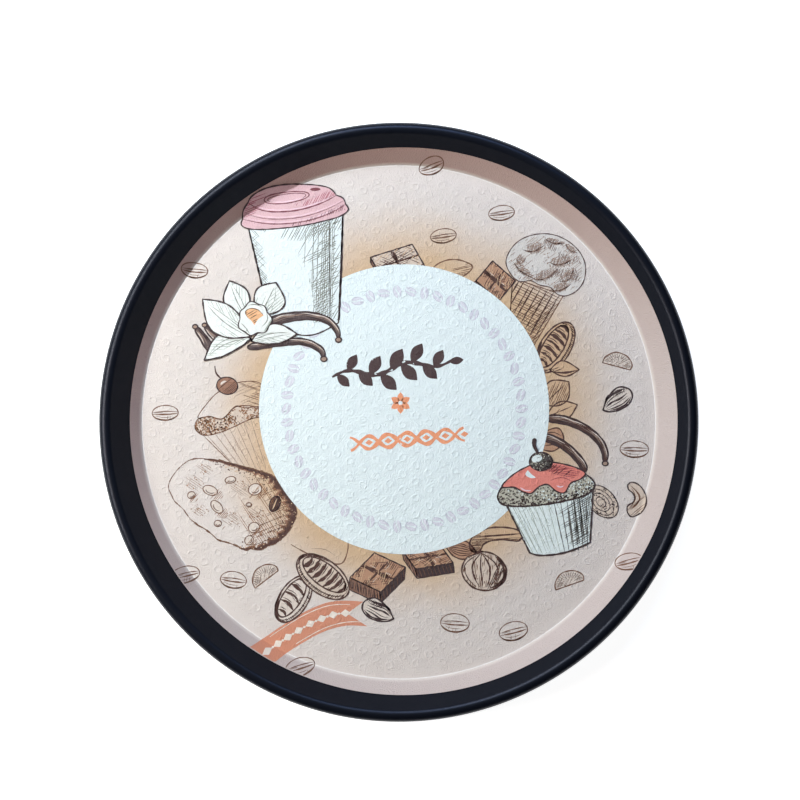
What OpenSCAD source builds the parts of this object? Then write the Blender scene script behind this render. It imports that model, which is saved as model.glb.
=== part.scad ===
// Round serving tray: a moulded shell with a flared wall and a rounded, turned-down lip,
// and a thin printed film fused to the floor and the lower wall.
// Origin: centre of the plane that the foot ring rests on, +Z up.

/* [Tray shell] */
// Outside diameter over the lip
outer_d = 350; // [300:5:400]
// Height from the table to the top of the lip
height = 25; // [22:1:34]
// Thickness of the moulded shell
shell_t = 2.2; // [1.8:0.1:2.6]

/* [Wall and lip] */
// Radius of the rounded lip
lip_r = 4; // [3.4:0.1:5]
// Horizontal run of the wall, from the edge of the flat floor to the crest
wall_run = 18.6; // [16:0.2:24]
// Radius of the fillet between the floor and the wall
fillet_r = 1.2; // [0.8:0.1:4]
// Depth of the straight skirt below the lip
skirt_drop = 5; // [3:0.5:7]

/* [Foot ring] */
// Height of the foot ring under the floor
foot_h = 2; // [1.5:0.5:4]
// Width of the foot ring
foot_w = 3; // [2:0.5:5]
// Gap from the foot ring to the edge of the flat floor
foot_inset = 11; // [6:1:30]
// Chamfer on the foot ring's lower edges
foot_chamfer = 0.6; // [0.2:0.1:0.9]

/* [Printed film] */
// Thickness of the film
film_t = 0.3; // [0.2:0.05:0.4]
// Mean width of bare wall between the film's edge and the crest
bare_band = 10; // [8:0.1:12]
// How far the film lies off centre along X
film_shift_x = 2.3; // [0:0.1:3]
// How far the film lies off centre along Y
film_shift_y = 0.4; // [0:0.1:1]

/* [Hidden] */
$fn = 180;
// Straight pieces in each arc of the section
arc_steps = 20;
// How far a cutter runs past what it cuts
past = 1;

outer_r = outer_d / 2;
crest_r = outer_r - lip_r;
floor_r = crest_r - wall_run;
floor_z = foot_h + shell_t;
film_r = crest_r - bare_band;
foot_r = floor_r - foot_inset;

// Centres of the fillet's arc and of the lip's arc in the section
fillet_c = [floor_r, floor_z + fillet_r];
lip_c = [crest_r, height - lip_r];
// The wall is the straight line that touches both arcs, one on each side
span = lip_c - fillet_c;
wall_slope = atan2(span[1], span[0]) + asin((fillet_r + lip_r) / norm(span));

// Points on an arc from angle a0 to angle a1
function arc(c, r, a0, a1) =
    [for (i = [0 : arc_steps])
        let (a = a0 + (a1 - a0) * i / arc_steps)
        c + r * [cos(a), sin(a)]];

function reversed(points) = [for (i = [len(points) - 1 : -1 : 0]) points[i]];

// The section's line at a depth below the top surface, from the axis to the skirt's lower edge
function skin(depth) = concat(
    [[0, floor_z - depth]],
    arc(fillet_c, fillet_r + depth, -90, -90 + wall_slope),
    arc(lip_c, lip_r - depth, 90 + wall_slope, 0),
    [[outer_r - depth, lip_c[1] - skirt_drop]]);

// A revolved sheet between two depths below the top surface
module revolved_skin(top, bottom) {
    rotate_extrude()
        polygon(concat(skin(top), reversed(skin(bottom))));
}

// Ring under the floor that the tray stands on
module foot_ring() {
    rotate_extrude()
        polygon([
            [foot_r - foot_w, floor_z - shell_t / 2],
            [foot_r - foot_w, foot_chamfer],
            [foot_r - foot_w + foot_chamfer, 0],
            [foot_r - foot_chamfer, 0],
            [foot_r, foot_chamfer],
            [foot_r, floor_z - shell_t / 2]]);
}

module tray_body() {
    color([0.07, 0.07, 0.09])
        union() {
            revolved_skin(0, shell_t);
            foot_ring();
        }
}

module label_film() {
    color([0.86, 0.78, 0.73])
        intersection() {
            revolved_skin(-film_t, 0);
            translate([film_shift_x, film_shift_y, -past])
                cylinder(h = height + 2 * past, r = film_r);
        }
}

tray_body();
label_film();
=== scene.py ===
"""Looks of the round printed serving tray: its shell, the film with its relief, and the print."""
import math

import bpy
import numpy as np
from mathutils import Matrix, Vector
from mathutils.geometry import delaunay_2d_cdt


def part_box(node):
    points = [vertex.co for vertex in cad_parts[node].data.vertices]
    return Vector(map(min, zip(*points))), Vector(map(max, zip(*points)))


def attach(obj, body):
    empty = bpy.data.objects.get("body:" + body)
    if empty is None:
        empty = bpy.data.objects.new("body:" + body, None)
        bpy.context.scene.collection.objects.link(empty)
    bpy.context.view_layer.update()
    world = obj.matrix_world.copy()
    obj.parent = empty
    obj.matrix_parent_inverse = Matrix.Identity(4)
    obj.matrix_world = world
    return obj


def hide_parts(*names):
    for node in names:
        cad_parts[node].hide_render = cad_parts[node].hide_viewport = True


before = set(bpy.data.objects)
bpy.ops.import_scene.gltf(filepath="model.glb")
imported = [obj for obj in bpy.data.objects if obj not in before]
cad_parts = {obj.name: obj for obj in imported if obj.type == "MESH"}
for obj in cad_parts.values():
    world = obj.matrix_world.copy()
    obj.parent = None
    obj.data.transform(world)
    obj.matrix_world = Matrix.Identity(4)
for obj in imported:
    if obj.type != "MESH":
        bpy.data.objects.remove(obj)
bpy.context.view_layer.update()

# ---------------------------------------------------------------- sizes, in millimetres

MM = 0.001
FAR = 1e9
SHELL_T = 2.2
LIP_R = 4.0
WALL_RUN = 18.6
FILLET_R = 1.2
SKIRT_DROP = 5.0
FOOT_H = 2.0
FOOT_W = 3.0
FOOT_INSET = 11.0
FOOT_CHAMFER = 0.6
FILM_T = 0.3

body_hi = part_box("tray_body")[1] / MM
film_lo, film_hi = (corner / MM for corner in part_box("label_film"))
OUTER_R = round(body_hi.x, 1)
HEIGHT = round(body_hi.z, 1)
FILM_R = round((film_hi.x - film_lo.x) / 2, 1)
FILM_C = np.array([round((film_hi.x + film_lo.x) / 2, 1), round((film_hi.y + film_lo.y) / 2, 1)])

CREST_R = OUTER_R - LIP_R
FLOOR_R = CREST_R - WALL_RUN
FLOOR_Z = FOOT_H + SHELL_T
FOOT_R = FLOOR_R - FOOT_INSET
FILLET_C = np.array([FLOOR_R, FLOOR_Z + FILLET_R])
LIP_C = np.array([CREST_R, HEIGHT - LIP_R])
SPAN = LIP_C - FILLET_C
WALL_SLOPE = math.atan2(SPAN[1], SPAN[0]) + math.asin((FILLET_R + LIP_R) / np.hypot(*SPAN))

# Relief of the film: rings on a slanted lattice, each a low ridge with a flat top
RING_LOOPS = (0.0, 1.15, 1.4, 1.65, 2.35, 2.6, 2.85)
RING_RISE = (0.0, 0.0, 0.2, 1.0, 1.0, 0.2, 0.0)
RING_H = 0.14
RING_SIDES = 14
RING_STEP_A = np.array([7.83, -4.37])
RING_STEP_B = np.array([7.83, 5.41])
RING_ORIGIN = np.array([2.2, -129.5])
RING_LIMIT = FLOOR_R - 4.5

# How finely the shell and the film are meshed
SHELL_SIDES = 512
SHELL_ARC = 48
WALL_SIDES = 480
WALL_STEP = 1.5
BEND_LOOPS = (0, 0.12, 0.25, 0.38, 0.5, 0.62, 0.74, 0.87, 1)
FILM_STEP = 1.2
# Where the strip of painted highlight along the floor's bend starts, and how far up the fillet it
# reaches
BEND_START = 0.05
BEND_SHARE = 0.42

# The print: a white disc off centre, a ring of faint beans in it, and thin layers of ink
DISC_C = np.array([3.1, 7.1])
DISC_R = 86.3
DISC_BEANS = 54
BEAN_RING_R = 70.0
FIRST_LAYER = 0.02
LAYER = 0.035
DISC_LAYER = 4
DISC_OVERLAP = 0.8
EDGE_GAP = 0.3
PEN_STEP = 0.35
GLOW_C = np.array([7.5, 6.0])
GLOW_FADE = (DISC_R + 8, 142.0)

# Colours of the inks, red, green and blue from 0 to 255 as they look in even light
INKS = {"line": (58, 38, 38), "sepia": (112, 76, 56), "sepia_deep": (76, 46, 38),
        "sepia_light": (150, 102, 66), "soft": (160, 132, 116), "soft_deep": (126, 104, 94),
        "shade_line": (118, 118, 106), "cocoa": (148, 107, 86), "grey_line": (88, 84, 78),
        "dark_print": (70, 48, 48), "white": (224, 232, 237), "faint": (213, 211, 219),
        "faint_line": (197, 194, 205), "paper": (226, 232, 232), "pink": (214, 174, 178),
        "pink_light": (240, 196, 204), "rose": (172, 92, 104), "rose_deep": (118, 58, 66),
        "petal": (231, 234, 227), "petal_line": (160, 166, 154), "apricot": (236, 178, 132),
        "pod": (86, 70, 69), "wrapper": (225, 232, 229), "cake": (184, 178, 162),
        "cake_dark": (84, 76, 66), "coral": (224, 131, 118), "coral_deep": (168, 78, 78),
        "tan": (202, 167, 134), "caramel": (180, 136, 108), "chocolate": (94, 62, 50),
        "haze": (208, 188, 172), "ice": (209, 201, 195), "nut": (216, 201, 190),
        "ribbon": (206, 136, 108), "ribbon_light": (242, 218, 206), "orange": (232, 150, 110)}

# Black plastic of the shell. A grain is pairs of size in millimetres and share of the bump
BLACK = (0.0045, 0.0055, 0.0095)
BLACK_SHEEN = 0.26
BLACK_SHEEN_TINT = (0.8, 0.82, 1.0)
BLACK_GRAIN = ((0.5, 1.0), (0.22, 0.6))
BLACK_BUMP = 0.25
BLACK_ROUGH = 0.33
BLACK_SWING = 0.04

# Satin grain shared by the film and its inks, and the tints of the film, with painted shade up the wall
# and a painted highlight along the bend
GRAIN_DEPTH = 0.25
FILM_GRAIN = ((0.9, 1.0), (0.45, 0.9))
FILM_BUMP = 1.9
FILM_ROUGH = 0.4
FILM_SWING = 0.05
BEND_BUMP = 0.1
BEND_ROUGH = 0.2
FILM_TINT = ((0.795, 0.71, 0.665), (0.74, 0.64, 0.59))
# The wall's tint on its lit side, then painted shade that browns its shaded side, and the direction of
# that side
WALL_TINT_AND_PAINTED_SHADE = ((0.79, 0.74, 0.75), (0.68, 0.49, 0.47))
PAINTED_SHADE_TURN = math.radians(118)
# Lighter tints of the film along the bend at the floor's edge: a painted highlight
BEND_PAINTED_HIGHLIGHT = ((0.9, 0.84, 0.82), (0.88, 0.82, 0.8))
GLOW_TINT = (0.675, 0.45, 0.27)

# How much lighter an ink is set than it looks, and the lightest that it may be
INK_GAIN = 1.12
INK_LIMIT = 0.9

# Sizes of the wash's clouds, of their push on the glow's edge, and of the drift in roughness
CLOUD = 30
CLOUD_DRIFT = 24
DRIFT = 24

# Heights between which the wall's tint sets in, and the way across the tray along which painted shade
# turns the wall's shaded side brown
CLIMB = (FLOOR_Z + 0.5, FLOOR_Z + 2.5)
PAINTED_SHADE_SPAN = (-0.3 * OUTER_R, 0.85 * OUTER_R)

# Stage, camera and lights, in metres and degrees. The aim on the floor is in millimetres, and the
# tray fills a share of the picture's width
STAGE_REACH = 11.0
KERB_H = 0.3
CAMERA_ELEVATION = 87.8
CAMERA_DISTANCE = 0.9
CAMERA_AIM = (0.7, 12.3)
TRAY_SHARE = 0.74875
SENSOR = 36
LIGHTS = (
    # name, azimuth from +X towards +Y, elevation, distance, width and height, power, colour
    ("key", 152, 47.5, 0.78, (1.1, 0.16), 9.4, (0.95, 1.0, 0.94)),
    ("window", 92, 46, 1.0, (0.6, 0.18), 4.4, (0.42, 0.62, 1.0)),
    ("lamp", 180, 50, 0.9, (0.3, 0.2), 0.7, (1.0, 0.5, 0.35)))
ROOM_LIGHT = (0.8, 0.9, 1.0, 1)
ROOM_POWER = 0.014

rng = np.random.default_rng(7)


# ---------------------------------------------------------------- section and height of the film

def unit(angles):
    """Steps of length 1 at angles in radians."""
    return np.stack([np.cos(angles), np.sin(angles)], 1)


def lengths(steps):
    """How long each step of a row is."""
    return np.hypot(*np.transpose(steps))


def heading(step):
    """The angle of one step in degrees."""
    return math.degrees(math.atan2(step[1], step[0]))


def arc(centre, radius, start, end, steps):
    """Points on an arc, angles in radians."""
    angles = np.linspace(start, end, steps + 1)
    return centre + radius * unit(angles)


def skin(depth):
    """The section's line at a depth below the top surface, from the axis to the skirt's edge."""
    quarter = math.pi / 2
    return np.concatenate([
        [[0.0, FLOOR_Z - depth]],
        arc(FILLET_C, FILLET_R + depth, -quarter, -quarter + WALL_SLOPE, SHELL_ARC // 2),
        arc(LIP_C, LIP_R - depth, quarter + WALL_SLOPE, 0, SHELL_ARC),
        [[OUTER_R - depth, LIP_C[1] - SKIRT_DROP]]])


def film_height(r):
    """Height of the film's smooth top surface at a radius from the tray's axis."""
    bend = FILLET_R - FILM_T
    r_end = FLOOR_R + bend * math.sin(WALL_SLOPE)
    z_end = FILLET_C[1] - bend * math.cos(WALL_SLOPE)
    along = np.clip(r - FLOOR_R, 0, bend * math.sin(WALL_SLOPE))
    fillet = FILLET_C[1] - np.sqrt(bend ** 2 - along ** 2)
    wall = z_end + (r - r_end) * math.tan(WALL_SLOPE)
    return np.where(r <= FLOOR_R, FLOOR_Z + FILM_T, np.where(r <= r_end, fillet, wall))


def ring_centres():
    """Centres of the relief's rings, on the flat floor only."""
    count = int(2 * FLOOR_R / RING_STEP_A[0])
    i, j = np.meshgrid(np.arange(-count, count), np.arange(-count, count))
    centres = RING_ORIGIN + i.reshape(-1, 1) * RING_STEP_A + j.reshape(-1, 1) * RING_STEP_B
    return centres[lengths(centres) < RING_LIMIT]


def ring_rise(points):
    """Height of the relief over the smooth floor at each point."""
    lattice = np.stack([RING_STEP_A, RING_STEP_B], 1)
    cell = np.round(np.linalg.solve(lattice, (points - RING_ORIGIN).T)).T
    nearest = np.full(len(points), FAR)
    for di in (-1, 0, 1):
        for dj in (-1, 0, 1):
            centre = RING_ORIGIN + (cell + [di, dj]) @ lattice.T
            away = lengths(points - centre)
            away[lengths(centre) >= RING_LIMIT] = FAR
            nearest = np.minimum(nearest, away)
    return RING_H * np.interp(nearest, RING_LOOPS, RING_RISE)


def on_film(points, lift=0.0):
    """Points of the print, seen from above, laid on the film's surface with its relief."""
    points = np.asarray(points, float).reshape(-1, 2)
    z = film_height(lengths(points)) + ring_rise(points) + lift
    return np.column_stack([points, z])


# ---------------------------------------------------------------- meshes

def add_mesh(name, vertices, faces, materials, face_inks=None, sharp=None):
    """A mesh object in metres from vertices in millimetres. It rides on the tray."""
    mesh = bpy.data.meshes.new(name)
    vertices = np.asarray(vertices, float) * MM
    mesh.from_pydata(vertices.tolist(), [], [list(map(int, f)) for f in faces])
    for material in materials:
        mesh.materials.append(material)
    if face_inks is not None:
        mesh.polygons.foreach_set("material_index", np.asarray(face_inks, np.int32))
    mesh.shade_smooth()
    if sharp:
        mesh.set_sharp_from_angle(angle=math.radians(sharp))
    mesh.validate()
    mesh.update()
    piece = bpy.data.objects.new(name, mesh)
    bpy.context.scene.collection.objects.link(piece)
    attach(piece, "root")
    return piece


def revolve(outline, sides):
    """Vertices and faces of a section turned round the axis, where its two end points lie."""
    outline = np.asarray(outline, float)
    ring = outline[1:-1]
    angles = np.linspace(0, 2 * math.pi, sides, endpoint=False)
    x = np.outer(np.cos(angles), ring[:, 0])
    y = np.outer(np.sin(angles), ring[:, 0])
    z = np.broadcast_to(ring[:, 1], x.shape)
    vertices = np.stack([x, y, z], 2).reshape(-1, 3)
    poles = [[0, 0, outline[0, 1]], [0, 0, outline[-1, 1]]]
    vertices = np.concatenate([vertices, poles])
    n = len(ring)
    top = sides * n
    faces = []
    for s in range(sides):
        a = s * n
        b = (s + 1) % sides * n
        faces.append((top, a, b))
        faces.append((top + 1, b + n - 1, a + n - 1))
        faces += [(a + k, a + k + 1, b + k + 1, b + k) for k in range(n - 1)]
    return vertices, faces


def inside(points, outline):
    """Which points lie inside a closed outline."""
    x, y = points[:, 0], points[:, 1]
    result = np.zeros(len(points), bool)
    ends = np.roll(outline, -1, axis=0)
    for (x0, y0), (x1, y1) in zip(outline, ends):
        if y0 != y1:
            crosses = (y0 > y) != (y1 > y)
            result ^= crosses & (x < x0 + (y - y0) * (x1 - x0) / (y1 - y0))
    return result


def relief_points():
    """Points that carry the film's shape: every ring's loops, then circles up the wall."""
    turn = np.arange(RING_SIDES) * 2 * math.pi / RING_SIDES
    loops = np.concatenate([[[0.0, 0.0]]] + [unit(turn) * r for r in RING_LOOPS[1:]])
    rings = (ring_centres()[:, None, :] + loops[None, :, :]).reshape(-1, 2)
    bend = (FILLET_R - FILM_T) * math.sin(WALL_SLOPE)
    radii = [FLOOR_R - 0.4]
    radii += [FLOOR_R + bend * f for f in BEND_LOOPS]
    radii += list(np.arange(FLOOR_R + bend + WALL_STEP, CREST_R - 2, WALL_STEP))
    around = np.linspace(0, 2 * math.pi, WALL_SIDES, endpoint=False)
    circles = np.concatenate([unit(around) * r for r in radii])
    return np.concatenate([rings, circles])


RELIEF = relief_points()


def resample(points, step, closed=False):
    """Points spaced evenly, at most a step apart, along a line."""
    points = np.asarray(points, float)
    if closed:
        points = np.concatenate([points, points[:1]])
    gaps = lengths(np.diff(points, axis=0))
    at = np.concatenate([[0], np.cumsum(gaps)])
    count = max(2, int(math.ceil(at[-1] / step)) + 1)
    wanted = np.linspace(0, at[-1], count)
    line = np.stack([np.interp(wanted, at, points[:, k]) for k in (0, 1)], 1)
    return line[:-1] if closed else line


def gap_to(points, edge, batch=4000, few=400):
    """Distance from each point to the nearest of an edge's points, in batches that fit in memory."""
    gap = np.full(len(points), FAR)
    for i in range(0, len(points), batch):
        for k in range(0, len(edge), few):
            step = points[i:i + batch, None, :] - edge[None, k:k + few, :]
            here = np.hypot(step[..., 0], step[..., 1]).min(1)
            gap[i:i + batch] = np.minimum(gap[i:i + batch], here)
    return gap


def triangulate(outline, step=0.6, clear=0.12):
    """Points and triangles that fill an outline and follow the film's relief."""
    edge = resample(outline, step, closed=True)
    lo, hi = edge.min(0), edge.max(0)
    near = RELIEF[((RELIEF > lo) & (RELIEF < hi)).all(1)]
    near = near[inside(near, edge)] if len(near) else near
    near = near[gap_to(near, edge) > clear]
    points = np.concatenate([edge, near])
    border = list(range(len(edge)))
    made = delaunay_2d_cdt([Vector(p) for p in points.tolist()], [], [border], 1, 1e-5)
    flat = np.array([[v.x, v.y] for v in made[0]])
    return flat, [tuple(f) for f in made[2]]


# ---------------------------------------------------------------- materials

class Look:
    """A material and what adds its nodes. A value is a socket to link or a constant."""

    def __init__(self, name):
        self.material = bpy.data.materials.new(name)
        self.material.use_nodes = True
        self.tree = self.material.node_tree
        self.place = None

    def plug(self, socket, value):
        """Link a socket, or give it a constant."""
        if isinstance(value, bpy.types.NodeSocket):
            self.tree.links.new(value, socket)
        else:
            socket.default_value = value

    def surface(self, **values):
        """Set sockets of the shader. An underscore stands for a space in their names."""
        shader = self.tree.nodes["Principled BSDF"]
        for name, value in values.items():
            self.plug(shader.inputs[name.replace("_", " ")], value)

    def node(self, kind, values, **settings):
        """A node with its settings, and with values in its sockets by name or number."""
        node = self.tree.nodes.new("ShaderNode" + kind)
        for name, setting in settings.items():
            setattr(node, name, setting)
        for key, value in values.items():
            self.plug(node.inputs[key], value)
        return node

    def noise(self, size, detail, roughness=0.5):
        """Noise with waves of about a given size in millimetres."""
        values = {"Vector": self.place, "Scale": 1 / (size * MM), "Detail": detail,
                  "Roughness": roughness}
        return self.node("TexNoise", values).outputs["Fac"]

    def math(self, operation, *values):
        """A number worked out from others."""
        return self.node("Math", dict(enumerate(values)), operation=operation).outputs[0]

    def vector(self, operation, *values):
        """A number worked out from two vectors."""
        return self.node("VectorMath", dict(enumerate(values)), operation=operation).outputs["Value"]

    def ramp(self, value, limits=(0, 1), results=(0, 1), **settings):
        """A value between two limits turned into one between two results."""
        names = ("Value", "From Min", "From Max", "To Min", "To Max")
        return self.node("MapRange", dict(zip(names, (value, *limits, *results))),
                         **settings).outputs["Result"]

    def mix(self, share, start, end, **settings):
        """A colour between two others. Each is a socket or red, green and blue."""
        start, end = ((*c, 1) if isinstance(c, tuple) else c for c in (start, end))
        return self.node("Mix", {0: share, 6: start, 7: end}, data_type="RGBA", **settings).outputs[2]

    def grain(self, sizes, strength, rough, swing):
        """Fine moulded grain as bump, with roughness that drifts slowly about its mean."""
        self.place = self.node("TexCoord", {}).outputs["Object"]
        waves = [self.math("MULTIPLY", self.noise(size, 3.0), share) for size, share in sizes]
        values = {"Height": self.math("ADD", *waves), "Strength": strength,
                  "Distance": GRAIN_DEPTH * MM}
        drift = self.noise(DRIFT, 4.0)
        self.surface(Normal=self.node("Bump", values).outputs["Normal"],
                     Roughness=self.ramp(drift, results=(rough - swing, rough + swing)))


def black_plastic():
    """Near-black plastic with a fine grain."""
    look = Look("black_moulded_plastic")
    look.surface(Base_Color=(*BLACK, 1), Specular_IOR_Level=BLACK_SHEEN,
                 Specular_Tint=(*BLACK_SHEEN_TINT, 1))
    look.grain(BLACK_GRAIN, BLACK_BUMP, BLACK_ROUGH, BLACK_SWING)
    return look.material


def linear(colour):
    """Linear light of a colour given from 0 to 255."""
    c = np.array(colour) / 255
    return np.where(c <= 0.04045, c / 12.92, ((c + 0.055) / 1.055) ** 2.4)


def ink_material(ink):
    """Ink under the film's satin grain. Each ink is made once."""
    name = "ink_" + ink
    if name in bpy.data.materials:
        return bpy.data.materials[name]
    look = Look(name)
    look.surface(Base_Color=(*np.minimum(linear(INKS[ink]) * INK_GAIN, INK_LIMIT), 1))
    look.grain(FILM_GRAIN, FILM_BUMP, FILM_ROUGH, FILM_SWING)
    return look.material


def in_metres(lengths):
    """Lengths in millimetres turned into metres."""
    return tuple(length * MM for length in lengths)


def film_material(name, bump, rough, tint):
    """Pinkish beige film: a cloudy wash, a warm glow round the disc, a tint up the wall, and painted
    shade that turns the wall brown on its shaded side.
    """
    look = Look(name)
    look.grain(FILM_GRAIN, bump, rough, FILM_SWING)
    cloud = look.noise(CLOUD, 5.0, 0.6)
    away = look.vector("DISTANCE", look.place, in_metres((*GLOW_C, FLOOR_Z)))
    drift = look.math("MULTIPLY_ADD", cloud, CLOUD_DRIFT * MM, away)
    fade = look.ramp(drift, in_metres(GLOW_FADE), (1, 0), interpolation_type="SMOOTHSTEP")
    glow = look.mix(fade, look.mix(cloud, *tint), GLOW_TINT)
    height = look.node("SeparateXYZ", {"Vector": look.place}).outputs["Z"]
    climb = look.ramp(height, in_metres(CLIMB))
    # Painted shade: the wall turns brown towards its side turned away from the key light
    side = look.vector("DOT_PRODUCT", look.place, (math.cos(PAINTED_SHADE_TURN), math.sin(PAINTED_SHADE_TURN), 0))
    share = look.ramp(side, in_metres(PAINTED_SHADE_SPAN))
    wall = look.mix(share, *WALL_TINT_AND_PAINTED_SHADE)
    look.surface(Base_Color=look.mix(climb, glow, wall, blend_type="MULTIPLY"))
    return look.material


# ---------------------------------------------------------------- the tray

def foot_outline():
    """The foot ring's section under the floor, from outside to inside."""
    under = FLOOR_Z - SHELL_T
    return [
        [FOOT_R, under], [FOOT_R, FOOT_CHAMFER], [FOOT_R - FOOT_CHAMFER, 0],
        [FOOT_R - FOOT_W + FOOT_CHAMFER, 0], [FOOT_R - FOOT_W, FOOT_CHAMFER], [FOOT_R - FOOT_W, under]]


def make_body():
    """The black shell, turned from its section."""
    top = skin(0)
    under = skin(SHELL_T)[::-1]
    outline = np.concatenate([top, under[:-1], foot_outline(), under[-1:]])
    vertices, faces = revolve(outline, SHELL_SIDES)
    body = add_mesh("tray_shell", vertices, faces, [black_plastic()], sharp=40)
    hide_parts("tray_body")


def circle(centre, radius, step=0.8):
    """Points round a circle, about a step apart."""
    count = int(2 * math.pi * radius / step)
    angles = np.linspace(0, 2 * math.pi, count, endpoint=False)
    return np.asarray(centre) + radius * unit(angles)


def make_film():
    """The printed film with its relief, a lighter strip along the floor's bend that is a painted
    highlight, and the thin edge that steps down to the bare wall.
    """
    flat, faces = triangulate(circle(FILM_C, FILM_R), step=FILM_STEP)
    top = on_film(flat)
    rim = on_film(circle(FILM_C, FILM_R, FILM_STEP))
    drop = rim - (0, 0, 1.1 * FILM_T / math.cos(WALL_SLOPE))
    n, start = len(rim), len(top)
    k = np.arange(n)
    after = (k + 1) % n
    skirt = np.stack([start + k, start + n + k, start + n + after, start + after], 1)
    middle = np.array([flat[list(face)].mean(0) for face in faces])
    reach = lengths(middle) - FLOOR_R
    # The faces of the bend get a lighter, glossier film: a painted highlight
    bend = (reach > BEND_START) & (reach < BEND_SHARE * FILLET_R * math.sin(WALL_SLOPE))
    looks = [film_material("printed_film", FILM_BUMP, FILM_ROUGH, FILM_TINT),
             film_material("printed_film_bend_highlight", BEND_BUMP, BEND_ROUGH, BEND_PAINTED_HIGHLIGHT)]
    film = add_mesh("printed_film", np.concatenate([top, rim, drop]), faces + skirt.tolist(), looks,
                    bend.tolist() + [0] * n)
    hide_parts("label_film")


# ---------------------------------------------------------------- print: lines and fills

class Sheet:
    """Ink of one printed piece, gathered as flat shapes and laid on the film when it is built."""

    def __init__(self, name):
        self.name = name
        self.layer = 0
        self.parts = []

    def add(self, flat, faces, ink, rise=0):
        """Keep one flat shape, a number of layers above the sheet's own."""
        self.parts.append((np.asarray(flat, float), faces, ink, self.layer + rise))

    def build(self):
        """Make the piece from all its shapes, with one material for each ink."""
        inks = sorted({part[2] for part in self.parts})
        lift = np.concatenate([np.full(len(p[0]), FIRST_LAYER + p[3] * LAYER) for p in self.parts])
        vertices = on_film(np.concatenate([p[0] for p in self.parts]), lift)
        faces, face_inks, start = [], [], 0
        for flat, part_faces, ink, _ in self.parts:
            faces += [tuple(start + v for v in face) for face in part_faces]
            face_inks += [inks.index(ink)] * len(part_faces)
            start += len(flat)
        materials = [ink_material(ink) for ink in inks]
        add_mesh(self.name, vertices, faces, materials, face_inks)


def spline(points, first=0, last=None):
    """A smooth line through points, from one of them to another."""
    gaps = np.sqrt(lengths(np.diff(points, axis=0)))[:, None]
    slope = np.diff(points, axis=0) / gaps
    aim = np.empty_like(points)
    aim[1:-1] = (slope[:-1] * gaps[1:] + slope[1:] * gaps[:-1]) / (gaps[:-1] + gaps[1:])
    aim[0] = slope[0] if len(points) == 2 else 1.5 * slope[0] - 0.5 * aim[1]
    aim[-1] = slope[-1] if len(points) == 2 else 1.5 * slope[-1] - 0.5 * aim[-2]
    last = len(points) - 1 if last is None else last
    u = np.linspace(0, 1, 9)[:-1, None]
    line = []
    for k in range(first, last):
        here = points[k] * (1 + 2 * u) * (1 - u) ** 2 + points[k + 1] * u ** 2 * (3 - 2 * u)
        line.append(here + gaps[k] * (aim[k] * u * (1 - u) ** 2 - aim[k + 1] * u ** 2 * (1 - u)))
    return np.concatenate(line + [points[last:last + 1]])


def curve(points, closed=False):
    """A smooth line through points. A point with a third value is a corner."""
    corners = [k for k, p in enumerate(points) if len(p) > 2]
    line = np.array([p[:2] for p in points], float)
    if closed and not corners:
        return spline(np.concatenate([line[-2:], line, line[:2]]), 2, 2 + len(line))[:-1]
    if closed:
        line = np.roll(line, -corners[0], axis=0)
        line = np.concatenate([line, line[:1]])
        corners = [k - corners[0] for k in corners]
    stops = sorted({0, *corners, len(line) - 1})
    joined = [spline(line[a:b + 1])[:-1] for a, b in zip(stops, stops[1:])]
    return np.concatenate(joined if closed else joined + [line[-1:]])


def loop(points):
    """A smooth closed line through points, with corners as in a curve."""
    return curve(points, closed=True)


def place(points, at, tilt=0.0, scale=1.0):
    """Points turned by an angle in degrees and moved to a place."""
    t = math.radians(tilt)
    turn = np.array([[math.cos(t), math.sin(t)], [-math.sin(t), math.cos(t)]])
    return np.asarray(points, float) * scale @ turn + np.asarray(at, float)


def ellipse(length, width, start=0.0, end=360.0, steps=40):
    """Points round an ellipse, or along a part of it between two angles."""
    t = np.radians(np.linspace(start, end, steps + 1))
    points = np.stack([length / 2 * np.cos(t), width / 2 * np.sin(t)], 1)
    return points[:-1] if end - start == 360 else points


def lozenge(half_length, half_width):
    """The four corners of a lozenge."""
    return [(-half_length, 0), (0, -half_width), (half_length, 0), (0, half_width)]


def oval(length, width, at, tilt=0.0, start=0.0, end=360.0, steps=40):
    """An ellipse, or a part of one, turned and moved to a place."""
    return place(ellipse(length, width, start, end, steps), at, tilt)


def runs(keep, shortest=3):
    """Start and end of each stretch that is kept."""
    edges = np.flatnonzero(np.diff(np.concatenate([[0], keep.astype(np.int8), [0]])))
    return [(a, b) for a, b in edges.reshape(-1, 2) if b - a >= shortest]


def shown(points, layer):
    """Which points are on the film and not under the disc."""
    result = lengths(points - FILM_C) < FILM_R - EDGE_GAP
    if layer < DISC_LAYER:
        result &= lengths(points - DISC_C) > DISC_R - DISC_OVERLAP
    return result


def across(line):
    """Unit steps square to a line, one at each of its points."""
    ahead = np.gradient(line, axis=0)
    side = np.stack([-ahead[:, 1], ahead[:, 0]], 1)
    return side / np.maximum(lengths(side), 1e-9)[:, None]


def ribbon(sheet, line, width, ink, ends, rise):
    """A thin band of ink along a line, with a hand's uneven pressure."""
    press = np.interp(np.linspace(0, 1, len(line)), (0, 0.25, 0.75, 1), (ends, 1, 1, ends))
    press *= 1 + 0.18 * np.sin(np.arange(len(line)) * 0.31 + rng.uniform(0, 6.28))
    half = across(line) * (width / 2 * press)[:, None]
    columns = [line + half, line, line - half] if width > 0.6 else [line + half, line - half]
    n = len(line)
    faces = []
    for c in range(len(columns) - 1):
        k = np.arange(n - 1) + c * n
        faces += np.stack([k, k + n, k + n + 1, k + 1], 1).tolist()
    sheet.add(np.concatenate(columns), faces, ink, rise)


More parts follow.
